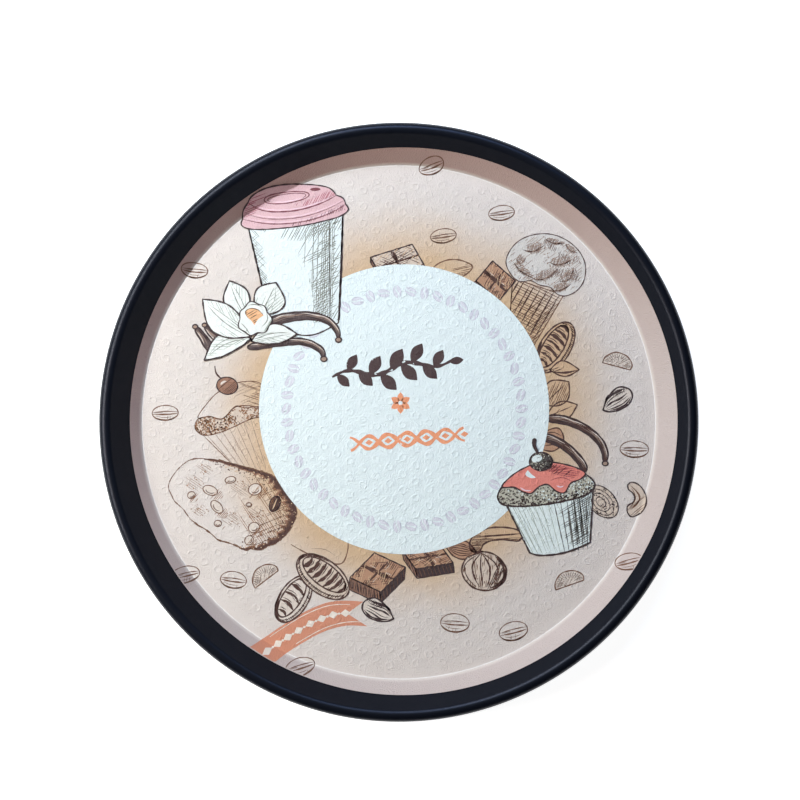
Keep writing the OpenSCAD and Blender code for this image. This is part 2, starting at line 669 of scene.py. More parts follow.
def stroke(sheet, points, width, ink, ends=0.4, closed=False, rise=1):
    """A pen line. A closed one has no tapered ends."""
    points = np.asarray(points, float)
    if closed:
        points = np.concatenate([points, points[:2]])
        ends = 1
    line = resample(points, PEN_STEP)
    for a, b in runs(shown(line, sheet.layer + rise)):
        ribbon(sheet, line[a:b], width, ink, ends, rise)


def fill(sheet, outline, ink, rise=0):
    """An area of one ink."""
    flat, faces = triangulate(outline)
    sheet.add(flat, faces, ink, rise)


def shape(sheet, outline, ink, line_ink="line", width=0.8):
    """A filled outline with a pen line round it."""
    fill(sheet, outline, ink)
    stroke(sheet, outline, width, line_ink, closed=True)


def toward(start, end):
    """A shade that grows from 0 to 1 from one place to another."""
    start, end = np.array(start, float), np.array(end, float)
    way = end - start
    return lambda points: np.clip((points - start) @ way / (way @ way), 0, 1)


def spot(at, size):
    """A shade that fades out round a place."""
    return lambda points: np.clip(1.25 - lengths(points - np.array(at, float)) / size, 0, 1)


def patchy(size, turn=0.0):
    """A shade of soft uneven patches of about a given size."""
    def shade(points):
        x, y = (place(points, (0, 0), turn) / size).T
        waves = np.sin(2.1 * x + 1.7 * np.sin(1.3 * y)) * np.cos(1.9 * y + 1.4 * np.sin(1.1 * x + 0.7))
        return np.clip(0.42 + 0.75 * waves, 0, 1)
    return shade


def hatch(sheet, outline, tilt, gap, width, ink, shade=None, rise=1):
    """Parallel pen lines inside an outline, longer and closer where the shade is deeper."""
    local = place(outline, (0, 0), -tilt)
    lo, hi = local.min(0), local.max(0)
    x = np.arange(lo[0], hi[0], PEN_STEP)
    for y in np.arange(lo[1] + gap / 2, hi[1], gap):
        drift = rng.normal(0, 0.16 * gap)
        slant = rng.normal(0, 0.004)
        line = place(np.column_stack([x, y + drift + slant * (x - lo[0])]), (0, 0), tilt)
        level = rng.uniform(0.05, 0.95)
        keep = inside(line, outline) & shown(line, sheet.layer + rise)
        if shade is not None:
            keep &= shade(line) > level
        for a, b in runs(keep, 4):
            ribbon(sheet, line[a:b], width * rng.uniform(0.8, 1.2), ink, 0.3, rise)


def stipple(sheet, outline, count, size, ink, shade=None, rise=1):
    """Small dabs of ink scattered inside an outline."""
    lo, hi = outline.min(0), outline.max(0)
    spots = lo + rng.random((count, 2)) * (hi - lo)
    keep = inside(spots, outline) & shown(spots, sheet.layer + rise)
    if shade is not None:
        keep &= shade(spots) > rng.random(count)
    dab = ellipse(1.0, 0.7, steps=6)
    for at in spots[keep]:
        flat = place(dab, at, rng.uniform(0, 180), size * rng.uniform(0.6, 1.4))
        sheet.add(flat, [tuple(range(len(dab)))], ink, rise)


def band(points, start_width, end_width):
    """The outline of a smooth band with round ends that narrows along a line."""
    line = resample(curve(points), 0.8)
    along = np.linspace(-1, 1, len(line))
    width = np.interp(along, (-1, 1), (start_width, end_width)) * np.sqrt(1 - 0.97 * along ** 10)
    half = across(line) * width[:, None] / 2
    return np.concatenate([line + half, (line - half)[::-1]])


# ---------------------------------------------------------------- print: small motifs

def bean_half(length, width, gap):
    """Half a coffee bean, above its waved slit. Turned by 180 degrees it is the other half."""
    x = np.linspace(-0.46, 0.46, 11) * length
    slit = np.stack([x, 0.12 * width * np.sin(2 * math.pi * x / length) + gap / 2], 1)
    return np.concatenate([ellipse(length, width, 0, 180, 14), slit])


def bean(sheet, at, length, width, tilt, ink="sepia", tone=None):
    """A coffee bean in pen: rim, a slit between two lines and a little shade along its lower side."""
    def put(points):
        return place(points, at, tilt)

    rim = put(ellipse(length, width))
    if tone:
        fill(sheet, rim, tone)
    stroke(sheet, rim, 0.55, ink, closed=True)
    stroke(sheet, put(ellipse(length * 0.97, width * 0.94, 200, 330)), 0.85, ink)
    x = np.linspace(-0.47, 0.47, 15) * length
    bow = 0.05 * width * np.cos(math.pi * x / length) + 0.05 * width
    for side, weight in ((1, 0.55), (-1, 0.85)):
        stroke(sheet, put(np.stack([x, side * bow], 1)), weight, ink, ends=0.3)
    stroke(sheet, put(np.stack([x[1:7], 0.3 * bow[1:7]], 1)), 0.4, "soft_deep", ends=0.1)
    stroke(sheet, put(ellipse(length * 0.84, width * 0.6, 215, 300)), 0.3, ink)
    shadow = put(ellipse(length * 0.94, width * 0.94, 180, 360))
    shade = toward(*put([(0, -0.1 * width), (0, -0.7 * width)]))
    hatch(sheet, shadow, tilt + 75, 1.4, 0.24, ink, shade)


def half_moon(sheet, at, length, width, tilt):
    """A half-moon slice of nut with short lines that run in from its rim."""
    rim = loop([(-0.5, -0.24, 1), (-0.42, 0.16), (-0.12, 0.5), (0.25, 0.42), (0.5, 0),
                (0.47, -0.32, 1), (0, -0.28)])
    rim = place(rim * (length, width), at, tilt)
    fill(sheet, rim, "nut")
    stroke(sheet, rim, 0.7, "sepia", closed=True)
    heart = place((0, -0.2 * width), at, tilt)
    for foot in rim[3:39:2]:
        reach = rng.uniform(0.35, 0.75)
        line = [foot + 0.06 * (heart - foot), foot + reach * (heart - foot)]
        stroke(sheet, line, 0.34, "soft_deep", ends=0.3)
    corner = place((0.3 * length, 0.6 * width), heart, tilt)
    hatch(sheet, rim, tilt + 40, 1.4, 0.3, "soft", toward(corner, heart))
    stipple(sheet, rim, 50, 0.55, "soft_deep")


def almond(sheet, at, length, width, tilt, ink="line", tone="nut"):
    """A pointed almond with ribs that run to its tip. A negative width mirrors it."""
    def put(points):
        return place(np.asarray(points, float) * (length, width), at, tilt)

    rim = put(loop([(-0.5, 0, 1), (-0.15, 0.38), (0.25, 0.5), (0.5, 0.12), (0.42, -0.3),
                    (0.1, -0.46), (-0.3, -0.3)]))
    fill(sheet, rim, tone)
    stroke(sheet, rim, 1.0, ink, closed=True)
    for share, weight in ((0.36, 1.7), (0.2, 0.6), (0.05, 1.1), (-0.1, 0.4), (-0.24, 0.8)):
        wave = rng.uniform(-0.05, 0.05, 2)
        rib = put(curve([(-0.4, share * 0.4), (-0.16, share + wave[0]), (0.12, share + wave[1]),
                         (0.38, share * 0.8)]))
        stroke(sheet, rib, weight, ink, ends=0.1)
    stroke(sheet, put(curve([(-0.34, -0.2), (0.1, -0.38), (0.42, -0.22)])), 1.0, ink, ends=0.1)
    hatch(sheet, put(ellipse(0.5, 0.3, 0, 360) + (0.2, 0.26)), tilt + 70, 0.9, 0.4, ink)


def leaf(length, width):
    """A leaf that lies along X from the origin, pointed at both ends."""
    top = [(0, 0, 1), (0.3 * length, 0.42 * width), (0.62 * length, 0.5 * width), (length, 0, 1)]
    return loop(top + [(0.62 * length, -0.5 * width), (0.3 * length, -0.42 * width)])


def pod(sheet, points, start_width, end_width, knob=3.0, tone="pod"):
    """A long vanilla pod with light streaks along it and a small knob at its end."""
    line = curve(points)
    way = line[-1] - line[-4]
    tip = oval(0.85 * knob, 0.7 * knob, line[-1] + way / lengths(way) * knob * 0.2)
    shape(sheet, band(points, start_width, end_width), tone, width=0.9)
    spine = resample(line, 0.8)
    width = np.linspace(start_width, end_width, len(spine))[:, None]
    for share, weight, ink in ((-0.3, 0.6, "line"), (0.27, 0.5, "nut"), (0.14, 0.5, "soft"),
                               (-0.04, 0.5, "soft_deep"), (-0.16, 0.4, "line")):
        wave = 0.05 * np.sin(np.arange(len(spine)) * 0.4 + rng.uniform(0, 6.28))[:, None]
        streak = (spine + across(spine) * width * (share + wave))[2:-2]
        cut = rng.integers(len(streak) // 3, len(streak) // 2 + 1)
        stroke(sheet, streak[:cut], weight, ink, ends=0.1)
        stroke(sheet, streak[cut + 2:], weight, ink, ends=0.1)
    sheet.layer += 2
    shape(sheet, tip, "soft", width=0.8)
    sheet.layer -= 2


def striped_oval(sheet, at, length, width, tilt, stripes, rim_ink="sepia_deep", tone="tan"):
    """A nut half with a double rim and bold dark stripes across it."""
    def put(points, shift=0.0):
        return place(np.asarray(points, float) + (0, shift), at, tilt)

    shape(sheet, put(ellipse(length, width)), tone, rim_ink, 0.9)
    stroke(sheet, put(ellipse(length * 0.93, width * 0.86, 165, 375), width * 0.03), 0.6, rim_ink)
    stroke(sheet, put(ellipse(length * 0.95, width * 0.93, 95, 200)), 1.5, rim_ink, ends=0.2)
    core = put(ellipse(length * 0.84, width * 0.66), width * 0.07)
    stroke(sheet, core, 0.9, rim_ink, closed=True)
    for x in np.linspace(-0.35, 0.35, stripes) * length:
        reach = 0.32 * width * math.sqrt(max(0.05, 1 - (x / (0.43 * length)) ** 2))
        y = np.linspace(-reach, reach, 7)
        bow = np.stack([x + 1.5 * np.cos(1.4 * y / reach) + 0.16 * y + rng.normal(0, 0.14, 7), y], 1)
        stroke(sheet, put(bow, width * 0.07), 2.0 * rng.uniform(0.7, 1.25), rim_ink, ends=0.25)
        stroke(sheet, put(bow[2:] + (1.7, 0), width * 0.07), 0.5, rim_ink, ends=0.1)
    shade = toward(*put([(0, -0.1 * width), (0, -0.36 * width)]))
    hatch(sheet, core, tilt + 84, 0.9, 0.4, rim_ink, shade)
    outer = ellipse(length * 0.98, width * 0.96, 185, 355)
    inner = ellipse(length * 0.86, width * 0.7, 185, 355)[::-1]
    hatch(sheet, put(np.concatenate([outer, inner])), tilt + 80, 1.0, 0.45, rim_ink)


def block(sheet, corner, side_a, side_b, drop, tone="caramel"):
    """Four squares of chocolate seen from above: the top, two darker sides and crossed grooves."""
    corner, side_a, side_b, drop = (np.array(v, float) for v in (corner, side_a, side_b, drop))
    top = np.array([corner, corner + side_a, corner + side_a + side_b, corner + side_b])
    for a, b, ink, pen, gap in ((top[0], top[1], "cocoa", "line", 0.9),
                                (top[1], top[2], "line", "chocolate", 2.2)):
        face = np.array([a, b, b + drop, a + drop])
        shape(sheet, face, ink, "line", 0.6)
        hatch(sheet, face, heading(drop) + 12, gap, 0.5, pen)
    sheet.layer += 2
    shape(sheet, top, tone, "line", 0.8)
    for side, square, weight in ((side_a, side_b, 1.1), (side_b, side_a, 2.3)):
        groove = corner + side / 2
        stroke(sheet, np.array([groove, groove + square]), weight, "sepia_deep", ends=0.8)
        for k in (0.16, 0.66):
            glint = groove + 0.1 * side + k * square
            stroke(sheet, np.array([glint, glint + 0.2 * square]), 0.4, "haze", ends=0.2, rise=1.4)
    tilt = heading(side_b)
    hatch(sheet, top, tilt + 12, 1.1, 0.4, "sepia_deep", patchy(6, 40))
    hatch(sheet, top, tilt - 40, 1.4, 0.36, "chocolate", patchy(5, 20), rise=1.5)
    hatch(sheet, top, tilt + 30, 1.6, 0.36, "tan", patchy(4, 80), rise=1.7)
    sheet.layer -= 2


# ---------------------------------------------------------------- print: the disc and its ornament

def draw_disc(sheet):
    """A white disc with a ring of faint beans in it."""
    fill(sheet, circle(DISC_C, DISC_R), "white")
    half = bean_half(7.4, 4.6, 0.7)
    for k in range(DISC_BEANS):
        turn = 2 * math.pi * k / DISC_BEANS
        at = DISC_C + BEAN_RING_R * np.array([math.cos(turn), math.sin(turn)])
        tilt = math.degrees(turn) + (62 if k % 2 else 8) + rng.normal(0, 5)
        for side in (0, 180):
            edge = place(half, at, tilt + side)
            fill(sheet, edge, "faint", rise=1)
            stroke(sheet, edge[1:14], 0.35, "faint_line", rise=2)


def draw_sprig(sheet):
    """A dark leafy sprig across the disc."""
    at, tilt = (-4, 31), 8
    stem = np.linspace(-36, 36, 60)
    stem = np.stack([stem, 2.4 * np.sin(stem * 0.175)], 1)
    stroke(sheet, place(stem, at, tilt), 2.6, "dark_print", ends=0.5)
    for k, x in enumerate(np.arange(-33, 31, 6.4)):
        side = 1 if k % 2 else -1
        size = 14.5 - 0.12 * abs(x)
        foot = (x, 2.4 * math.sin(x * 0.175))
        sprig = place(leaf(size, 0.52 * size), foot, side * 52)
        fill(sheet, place(sprig, at, tilt), "dark_print")
    fill(sheet, place(leaf(9, 4.4), place((34, -0.6), at, tilt), tilt), "dark_print")


def draw_rosette(sheet):
    """Six leaves round a small dot."""
    at = (1, 10.5)
    for k in range(6):
        fill(sheet, place(leaf(6.4, 3.6), at, 60 * k + 30), "orange")
    fill(sheet, circle(at, 1.3, 0.5), "white", rise=1)


def draw_wave(sheet):
    """Two waves that cross each other, with a lozenge in every gap."""
    at, tilt = (5, -11), 5
    wave = np.linspace(-34, 34, 160)
    for sign in (1, -1):
        line = np.stack([wave, sign * 3.8 * np.cos(wave * math.pi / 11.4)], 1)
        stroke(sheet, place(line, at, tilt), 2.3, "orange", ends=0.6, rise=1.5 + 0.5 * sign)
    for x in np.arange(-28.5, 30, 11.4):
        gem = place(lozenge(2.4, 1.7), (x + 5.7, 0))
        fill(sheet, place(gem, at, tilt), "orange")


# ---------------------------------------------------------------- print: the coloured drawings

def draw_cup(sheet):
    """A paper cup that widens towards its lid, darker on its right."""
    body = loop([(-90, 116, 1), (-77.3, 61, 1), (-66, 53), (-52, 51), (-36, 58.4, 1), (-33.4, 124, 1)])
    shape(sheet, body, "paper", width=0.85)
    dark = loop([(-74, 117, 1), (-60, 99), (-52.6, 80), (-51, 58, 1), (-41, 59.6, 1), (-40, 121, 1)])
    edge = np.array([(-41, 60), (-36, 60), (-34, 123), (-40, 121)])
    for area, shade in ((dark, toward((-65, 98), (-42, 92))), (edge, toward((-33, 90), (-43, 90)))):
        for tilt, gap, rise in ((88, 1.15, 1), (26, 1.3, 1.4), (60, 1.9, 1.8)):
            hatch(sheet, area, tilt, gap, 0.36, "shade_line", shade, rise)
    under = loop([(-84, 115.5, 1), (-62, 116.3), (-34, 124, 1), (-34.5, 114, 1), (-62, 107),
                  (-80, 112, 1)])
    hatch(sheet, under, 62, 1.3, 0.36, "shade_line", toward((-82, 104), (-56, 118)))
    left = np.array([(-89.5, 114), (-83, 115), (-72.5, 68), (-77.5, 64)])
    for tilt, gap in ((-46, 1.2), (40, 1.5)):
        hatch(sheet, left, tilt, gap, 0.24, "shade_line", toward((-77, 92), (-84, 90)))
    stroke(sheet, [(-41.4, 119), (-41.2, 90), (-41, 60)], 0.7, "grey_line", ends=0.6)
    stroke(sheet, [(-33.6, 122), (-34.4, 90), (-35.6, 60)], 1.25, "line", ends=0.7)
    stroke(sheet, [(-89.6, 114), (-83.4, 88), (-77.4, 62)], 1.15, "line", ends=0.7)


def draw_lid(sheet):
    """The cup's stepped pink lid."""
    lid = loop([(-94.2, 117.2), (-93.4, 120.4, 1), (-92.8, 124.6), (-89.6, 129.4, 1),
                (-87.6, 132.4), (-80, 137.2), (-66, 140.8), (-50, 141), (-41, 138.8),
                (-37.4, 134.8, 1), (-33.4, 133), (-31.8, 129.4, 1), (-30.2, 126.4), (-33.6, 123),
                (-46.2, 119), (-65.9, 115.4), (-90.4, 114.8)])
    fill(sheet, lid, "pink")
    steps = ([(-89.6, 129.4), (-80, 125.4), (-62, 125.6), (-46, 130.2), (-37.4, 134.8)],
             [(-92, 124), (-80, 120.8), (-60, 121.4), (-44, 126), (-33, 131.6)],
             [(-93.4, 120.4), (-77, 117.6), (-58, 118.8), (-42, 123.6), (-31.8, 129.4)])
    for step, weight in zip(steps, (0.8, 0.4, 0.6)):
        stroke(sheet, curve(step), weight, "rose_deep")
        stroke(sheet, curve(step) + (0.2, 1.1), 0.7, "pink_light", ends=0.1)
    for length, width, weight in ((27, 6.6, 0.55), (23, 4.4, 0.4)):
        stroke(sheet, oval(length, width, (-67, 133.4), 8), weight, "rose_deep", closed=True, rise=3)
    stroke(sheet, oval(22, 4.8, (-67, 133.4), 8, 200, 350), 0.9, "pink_light", ends=0.1, rise=3.4)
    fill(sheet, oval(6.4, 2, (-50, 138.4), 2), "rose_deep", rise=1)
    side = loop([(-62, 126.4, 1), (-46, 131), (-38, 135.4), (-42, 138), (-50, 134), (-62, 130, 1)])
    hatch(sheet, side, 62, 0.95, 0.36, "rose", toward((-64, 126), (-44, 134)))
    rim = loop([(-88, 117, 1), (-62, 119), (-32, 130.4, 1), (-32, 126, 1), (-60, 116, 1)])
    hatch(sheet, rim, 68, 1.05, 0.34, "rose_deep", toward((-72, 118), (-34, 128)))
    # Darker hatching on the lid's upper left, which lies up the shaded wall: partly the print's shading,
    # partly painted shade
    left = loop([(-93, 121, 1), (-89, 131), (-78, 137.6, 1), (-80, 130), (-86, 124, 1)])
    hatch(sheet, left, 24, 0.9, 0.4, "rose", toward((-76, 128), (-90, 130)))
    stroke(sheet, lid, 0.75, "line", closed=True, rise=2)


def petal(sheet, base, tip, width, bend):
    """A petal from its base to its tip, bent sideways, with folds that run along it."""
    base, way = np.array(base, float), np.subtract(tip, base)
    length, turn = math.hypot(*way), heading(way)

    def put(points):
        points = np.array(points, float)
        points[:, 1] += bend * length * np.sin(math.pi * np.clip(points[:, 0] / length, 0, 1))
        return place(points, base, turn)

    outline = leaf(length, width)
    shape(sheet, put(outline), "petal", width=0.95)
    hatch(sheet, put(outline), turn + 4, 1.3, 0.32, "petal_line",
          toward(put([(0.62 * length, 0)])[0], base))
    hatch(sheet, put(outline[len(outline) // 2:]), turn - 24, 1.8, 0.28, "petal_line", rise=1.4)
    for low, weight in ((0.03, 0.45), (-0.16, 0.3)):
        vein = curve([(0.1 * length, 0.5 * low * width), (0.5 * length, low * width),
                      (0.86 * length, 0.3 * low * width)])
        stroke(sheet, put(vein), weight, "shade_line", ends=0.2)
    sheet.layer += 2.6


def draw_flower(sheet):
    """A plain five-petalled flower with a frilled cup at its heart."""
    petal(sheet, (-91, 62), (-101, 83.4), 15, 0.03)
    petal(sheet, (-83, 63), (-73.4, 82.4), 18.5, -0.05)
    petal(sheet, (-88, 49), (-115.8, 36), 12, -0.12)
    petal(sheet, (-88.6, 50), (-117, 72.4), 17.5, 0.06)
    petal(sheet, (-88, 47.4), (-60.6, 51.6), 11.5, 0.08)
    heart = np.array([-86, 60.5])
    turn = np.radians(np.arange(0, 360, 6))
    reach = 9.6 + 0.6 * np.cos(7 * turn) + 0.6 * np.cos(3 * turn + 1)
    frill = heart + reach[:, None] * unit(turn)
    shape(sheet, frill, "petal", width=0.7)
    hatch(sheet, frill, 60, 1.1, 0.4, "petal_line", toward(heart + (-1, 2), heart + (9, -8)))
    folds = (((-94, 58), (-91, 55), (-89, 51.6)), ((-79, 65), (-78.4, 60), (-81.6, 56)),
             ((-90, 68.6), (-85.6, 69.2), (-81, 67.4)))
    for fold in folds:
        stroke(sheet, curve(fold), 0.45, "shade_line", ends=0.1)
    throat = loop([(-91.4, 64.8), (-88.6, 66.8), (-84, 66), (-80.6, 62.6, 1), (-83.6, 60.6),
                   (-86, 56.8, 1), (-88, 59.6), (-90, 61.4)])
    fill(sheet, throat, "apricot", rise=1)
    hatch(sheet, throat, 30, 0.9, 0.4, "sepia", toward((-82, 65), (-90, 59)), rise=2)
    stroke(sheet, throat[len(throat) // 2:], 0.5, "sepia", rise=2)


def draw_pods(sheet):
    """Four vanilla pods whose ends show round the flower."""
    pod(sheet, [(-90, 43.6), (-70, 46.6), (-56, 46.8), (-46.4, 42), (-44.8, 37.6)], 4.4, 3.4, 4.4)
    pod(sheet, [(-80, 57), (-68, 61.2), (-52, 62.4), (-42, 59.4), (-37, 54), (-36, 49)], 6.4, 2.8, 4.2)
    pod(sheet, [(-104, 40), (-112, 43.4), (-117, 50), (-121, 55.4)], 6.4, 3.2, 3.6)
    pod(sheet, [(-99, 45), (-106.4, 47.6), (-111.6, 52), (-115.4, 56.4)], 5.4, 3.0, 3.4)


def draw_wrapper(sheet):
    """The cupcake's pleated paper, dark on its right."""
    wrapper = loop([(61.5, -45, 1), (77.6, -78.3, 1), (83, -79.8), (98, -78.3), (113.4, -72.3, 1),
                    (115.4, -40, 1)])
    shape(sheet, wrapper, "wrapper", width=1.1)
    dark = np.array([(91, -48), (115, -41), (112.8, -71), (104, -75), (99, -72)])
    shade = toward((92, -60), (108, -60))
    hatch(sheet, dark, 97, 1.05, 0.45, "grey_line", shade)
    hatch(sheet, dark, 30, 1.1, 0.4, "grey_line", shade)
    for k in range(13):
        head = np.array([64.5 + 3.9 * k, -50.5 + 0.5 * k - 0.02 * (k - 5) ** 2])
        foot = np.array([79.5 + 2.7 * k, -78.4 + 0.02 * (k - 3) ** 3 * 0.2])
        ink = "petal_line" if k < 7 else "grey_line"
        stroke(sheet, [head, foot], 0.35 if k < 7 else 0.6, ink, ends=0.4)
    hatch(sheet, wrapper, 118, 2.2, 0.32, "petal_line", toward((100, -60), (70, -62)))


def draw_cake(sheet):
    """The speckled cake between paper and icing."""
    cake = loop([(58.6, -45.6), (61.4, -39.4), (75, -33), (100, -29), (112, -32.6), (116.4, -38),
                 (112.6, -43.2), (98, -47.8), (83, -50.2), (68, -50.8), (61, -49.4)])
    fill(sheet, cake, "cake")
    stipple(sheet, cake, 620, 1.15, "cake_dark")
    stipple(sheet, cake, 620, 1.0, "wrapper", toward((86, -52), (92, -36)))
    low = loop([(59, -45, 1), (70, -46.5), (84, -46), (100, -43.4), (115.5, -36.5, 1),
                (112.6, -43.2), (98, -47.8), (83, -50.2), (68, -50.8), (61, -49.4)])
    stipple(sheet, low, 620, 1.1, "line", rise=2)
    stroke(sheet, cake, 1.0, "line", closed=True, rise=2)


def draw_icing(sheet):
    """Coral icing that runs down in drips, with a pale glint."""
    icing = loop([(61.2, -39.4), (66.5, -33.2), (76.4, -27.2), (85, -24.6), (97, -25.6),
                  (108.6, -29.4), (110.8, -31.6), (108, -34.6), (102, -37.2), (98.4, -42.8),
                  (93.6, -42), (88.4, -38), (83.6, -39), (78.4, -43.2), (74, -42.4), (68.6, -39.6)])
    shape(sheet, icing, "coral", width=0.85)
    shadow = loop([(86, -26), (97, -26.6), (108, -30.6), (104, -34), (96, -33), (89, -30.6)])
    hatch(sheet, shadow, 8, 1.0, 0.5, "coral_deep")
    hatch(sheet, shadow, 40, 1.5, 0.42, "line", toward((106, -34), (90, -26)))
    glint = loop([(76.6, -29.4, 1), (75.2, -32), (78, -34), (81.4, -33.8, 1), (78.6, -31.6)])
    fill(sheet, glint, "white", rise=1)
    drips = (((72, -39.6), (75, -41.4), (78.6, -41.4)), ((93.6, -38.6), (96, -39.4), (98, -38.6)))
    for drip in drips:
        stroke(sheet, curve(drip), 0.9, "pink_light", ends=0.1)
    stroke(sheet, curve([(90, -35.6), (96.6, -33.8), (102.6, -36)]), 0.6, "coral_deep", ends=0.2)


def draw_cherry(sheet):
    """The cherry on the icing, with its shine and stem."""
    cherry = oval(13.4, 10.6, (84.4, -24.3))
    shape(sheet, cherry, "grey_line", width=1.1)
    stipple(sheet, cherry, 420, 0.9, "line", toward((80, -19), (88, -29)))
    stipple(sheet, cherry, 160, 0.8, "cake", toward((90, -27), (80, -20)), rise=1.1)
    shine = oval(6.4, 4.2, (82, -22.6), 18)
    fill(sheet, shine, "wrapper", rise=1.2)
    hatch(sheet, shine, 18, 0.7, 0.3, "grey_line", toward((81, -21), (85, -25)), rise=2.4)
    stem = band([(82.8, -19.4), (80.4, -14.2), (81, -10.4)], 1.6, 3.0)
    fill(sheet, stem, "line", rise=1)


# ---------------------------------------------------------------- print: the sepia drawings

def draw_pale_cupcake(sheet):
    """A second cupcake in pale pen lines, half hidden by the disc."""
    stroke(sheet, curve([(-109.6, 32.6), (-108.6, 28), (-104.6, 24.2)]), 0.9, "sepia_deep", ends=0.6)
    icing = loop([(-119.5, 1.6), (-113.5, 11), (-107.5, 17), (-96, 22.6), (-82, 22), (-76, 8),
                  (-84, 8.4), (-91.5, 7.6), (-97, 8.6), (-102, 3.4), (-106, 1), (-112.5, 2.6)])
    stroke(sheet, icing, 0.55, "sepia", closed=True)
    hatch(sheet, icing, 24, 1.6, 0.28, "soft", toward((-108, 8), (-88, 18)))
    hatch(sheet, icing, -18, 1.3, 0.36, "sepia", toward((-96, 14), (-82, 20)))
    cake = loop([(-120, 0.4), (-112.5, 2.4), (-105.5, 0.8), (-97, 8.2), (-84, 8), (-76, 4),
                 (-88, 1), (-98, -3.6), (-107.5, -7.4), (-116.5, -8.6), (-121, -5)])
    fill(sheet, cake, "haze")
    stipple(sheet, cake, 1500, 0.95, "sepia_light", patchy(5))
    stipple(sheet, cake, 700, 0.9, "sepia", patchy(4, 50), rise=1.4)
    stipple(sheet, cake, 560, 0.8, "sepia_deep", toward((-100, 5), (-101, -7)), rise=1.8)
    stroke(sheet, cake, 0.6, "sepia", closed=True)
    wrapper = np.array([(-116.5, -8.6), (-99, -25.4), (-80, -31), (-74, 0), (-90, 0.4), (-99, -3.6)])
    hatch(sheet, wrapper, -60, 2.6, 0.26, "soft", patchy(9, 20))
    for k in range(7):
        pleat = [(-114.5 + 4.4 * k, -8.2 + 1.5 * k), (-98 + 3.2 * k, -26.4 - 0.4 * k)]
        stroke(sheet, pleat, 0.4, "soft", ends=0.4)
    stroke(sheet, [(-116.5, -8.6), (-98.3, -26.6)], 0.5, "sepia")


def draw_pale_cherry(sheet):
    """The cherry of the pale cupcake."""
    cherry = oval(12.6, 10.2, (-102.2, 20.8), -10)
    shape(sheet, cherry, "cocoa", "line", 0.7)
    hatch(sheet, cherry, 40, 0.8, 0.4, "sepia_deep", toward((-105, 24), (-99, 17)))
    stroke(sheet, oval(7.6, 5.4, (-102.2, 20.8), 0, 95, 175), 1.1, "nut", ends=0.1)


def draw_stick(sheet):
    """The ice lolly's wooden stick, which the disc half hides."""
    stick = curve([(-64, -73.4), (-54.6, -78.6), (-40, -84.6), (-33.6, -84.4), (-30.2, -76), (-31, -66)])
    stroke(sheet, stick, 0.8, "sepia", ends=0.5)
    stroke(sheet, curve([(-52, -76), (-44, -76.4), (-38, -80)]), 0.4, "soft", ends=0.2)


def lolly_outline():
    """The ice lolly's outline, lumpy along its lower side."""
    body = loop([(-136.8, -39.6), (-133, -31), (-124, -23.4), (-113, -22.8), (-88, -28.6),
                 (-74.6, -33.4), (-66, -43), (-60.6, -54), (-65, -65), (-73, -72.4), (-84, -76.4),
                 (-96, -74.6), (-114.5, -65.4), (-130, -51)])
    lumps = 0.5 * np.sin(np.arange(len(body)) * 0.9) + rng.normal(0, 0.15, len(body))
    low_side = np.clip((-56 - 0.5 * (body[:, 0] + 100) - body[:, 1]) / 6, 0, 1)
    away = body - (-98, -48)
    return body + away / lengths(away)[:, None] * (lumps * low_side)[:, None]


def draw_crust(sheet, edge):
    """The rough chocolate edge, in three inks that each reach less far inwards."""
    inward = np.array([-94, -50]) - edge
    inward /= lengths(inward)[:, None]
    depth = np.interp(np.arange(len(edge)), (0, 14, 30, 44, len(edge) - 1), (0.6, 3.4, 7.8, 5.2, 0.6))
    rough = rng.uniform(0.45, 1.3, len(edge))
    for k, ink in enumerate(("cocoa", "chocolate", "sepia_deep")):
        reach = depth * rough * (1 - 0.3 * k) + rng.uniform(0, 0.5, len(edge))
        inner = edge + inward * reach[:, None]
        fill(sheet, np.concatenate([edge, inner[::-1]]), ink, rise=0.5 + 0.5 * k)
    rim = np.concatenate([edge, (edge + inward * (depth + 3.6)[:, None])[::-1]])
    stipple(sheet, rim, 900, 0.9, "chocolate", rise=1)
    stipple(sheet, rim, 240, 0.8, "tan", rise=2)


def draw_lolly(sheet):
    """The ice lolly: warm hatching, its chocolate edge, its rim and faint patches."""
    body = lolly_outline()
    warm = loop([(-100, -28, 1), (-84, -31), (-74, -38), (-64, -54), (-68, -66), (-86, -74, 1),
                 (-94, -60), (-98, -44)])
    hatch(sheet, warm, -56, 1.2, 0.34, "sepia_light", toward((-100, -46), (-66, -58)))
    hatch(sheet, warm, 22, 1.6, 0.3, "sepia", toward((-90, -48), (-64, -57)))
    draw_crust(sheet, body[22:88])
    for (ax, ay), (bx, by) in zip(body, np.roll(body, -1, axis=0)):
        weight = 0.5 + 0.7 * (ay > -50) * (ax > -112) + 0.4 * (ay < -62)
        stroke(sheet, [(ax, ay), (bx, by)], weight * rng.uniform(0.6, 1.5), "sepia", ends=1)
    for x, y, size in ((-121, -37, 9), (-116, -29, 7), (-93, -40, 9), (-98, -58, 10),
                       (-118, -53, 7), (-84, -56, 8)):
        patch = oval(1.8 * size, size, (x, y), -24)
        hatch(sheet, patch, -34, 1.2, 0.28, "soft", spot((x, y), 0.8 * size))
        stipple(sheet, patch, 40, 0.7, "sepia_light", spot((x, y), 0.7 * size), rise=1.2)


